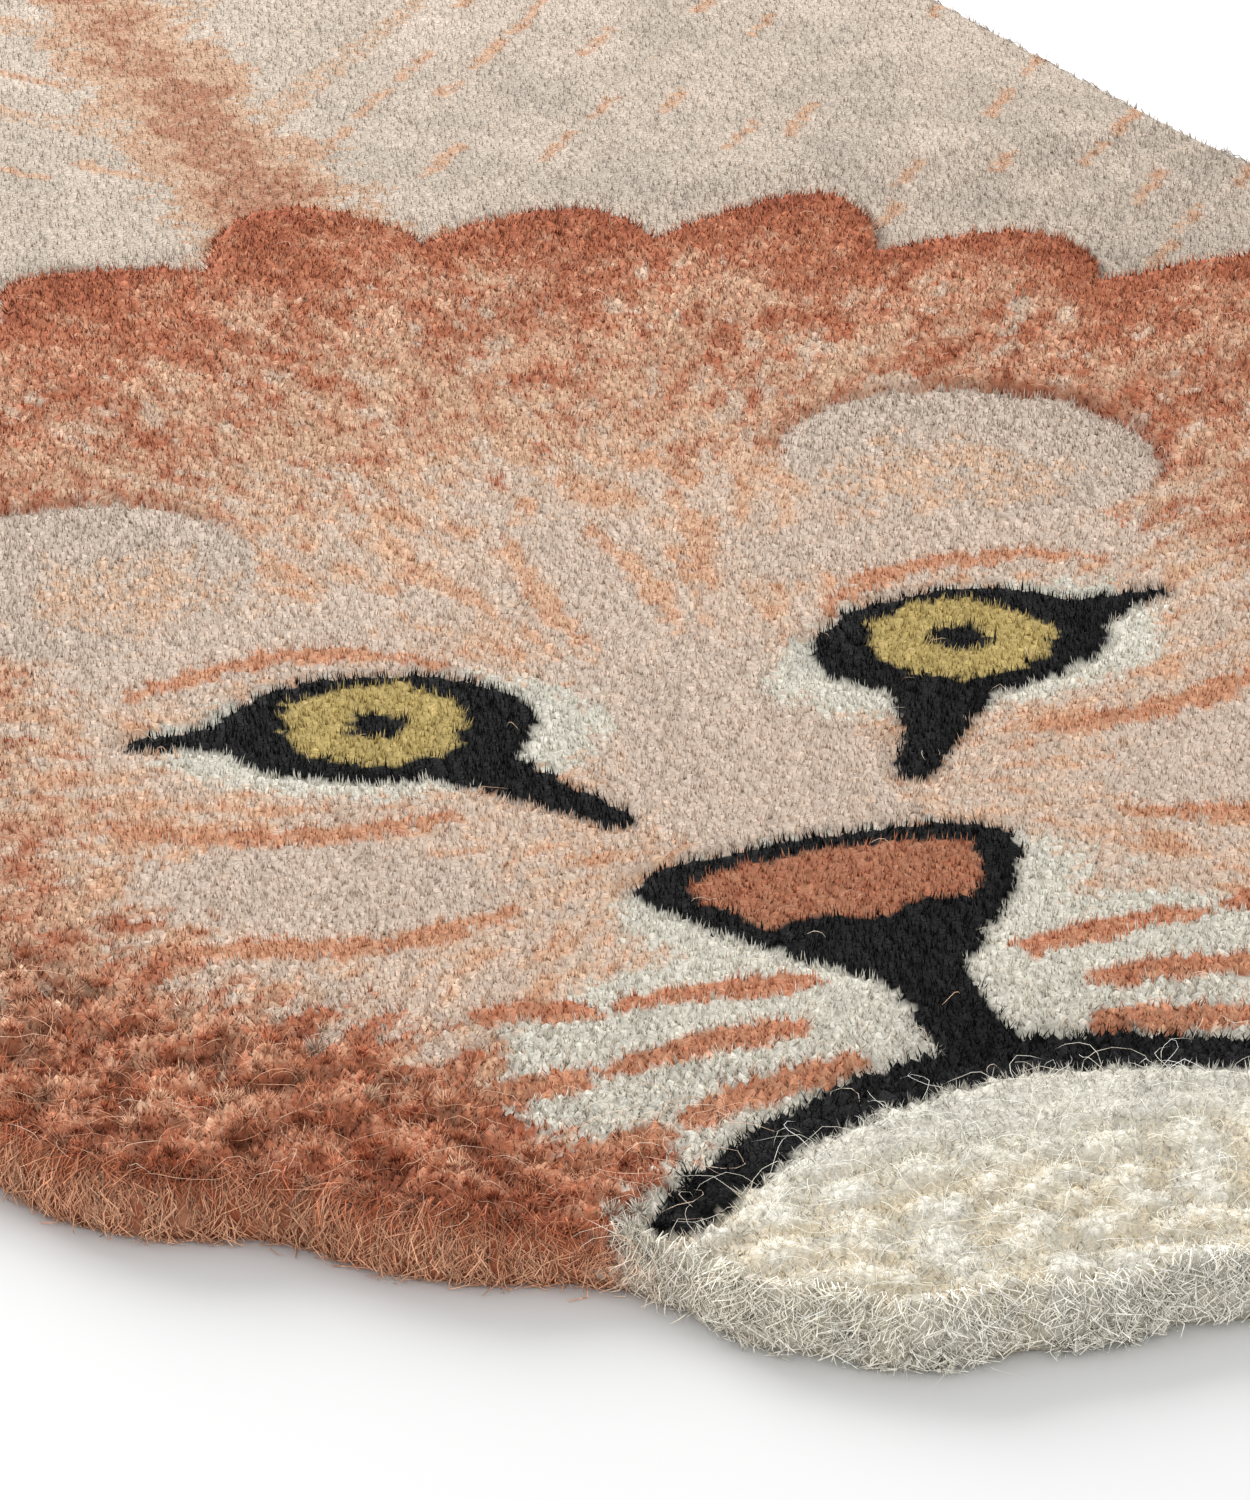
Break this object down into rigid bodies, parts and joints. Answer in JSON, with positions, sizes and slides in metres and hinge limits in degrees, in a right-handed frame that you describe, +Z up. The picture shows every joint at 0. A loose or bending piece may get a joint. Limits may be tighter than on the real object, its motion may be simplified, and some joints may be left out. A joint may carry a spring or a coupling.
{
  "type": "lion shaped rug",
  "caption": "Flat cut-pile floor rug in the outline of a lion skin, with a raised mane, ears, splayed legs and a tufted tail.",
  "frame": {"origin": "on the floor, under the middle of the rug's box", "axes": "+Z up out of the pile; +Y along the back from the chin to the tail, so the head points to -Y; +X across the rug, which mirrors in the plane X = 0"},
  "size_m": [0.9326, 1.4951, 0.0182],
  "materials": {
    "wool_pile": "matt cut wool pile"
  },
  "bodies": {
    "root": {"rug": "wool_pile"}
  },
  "joints": []
}
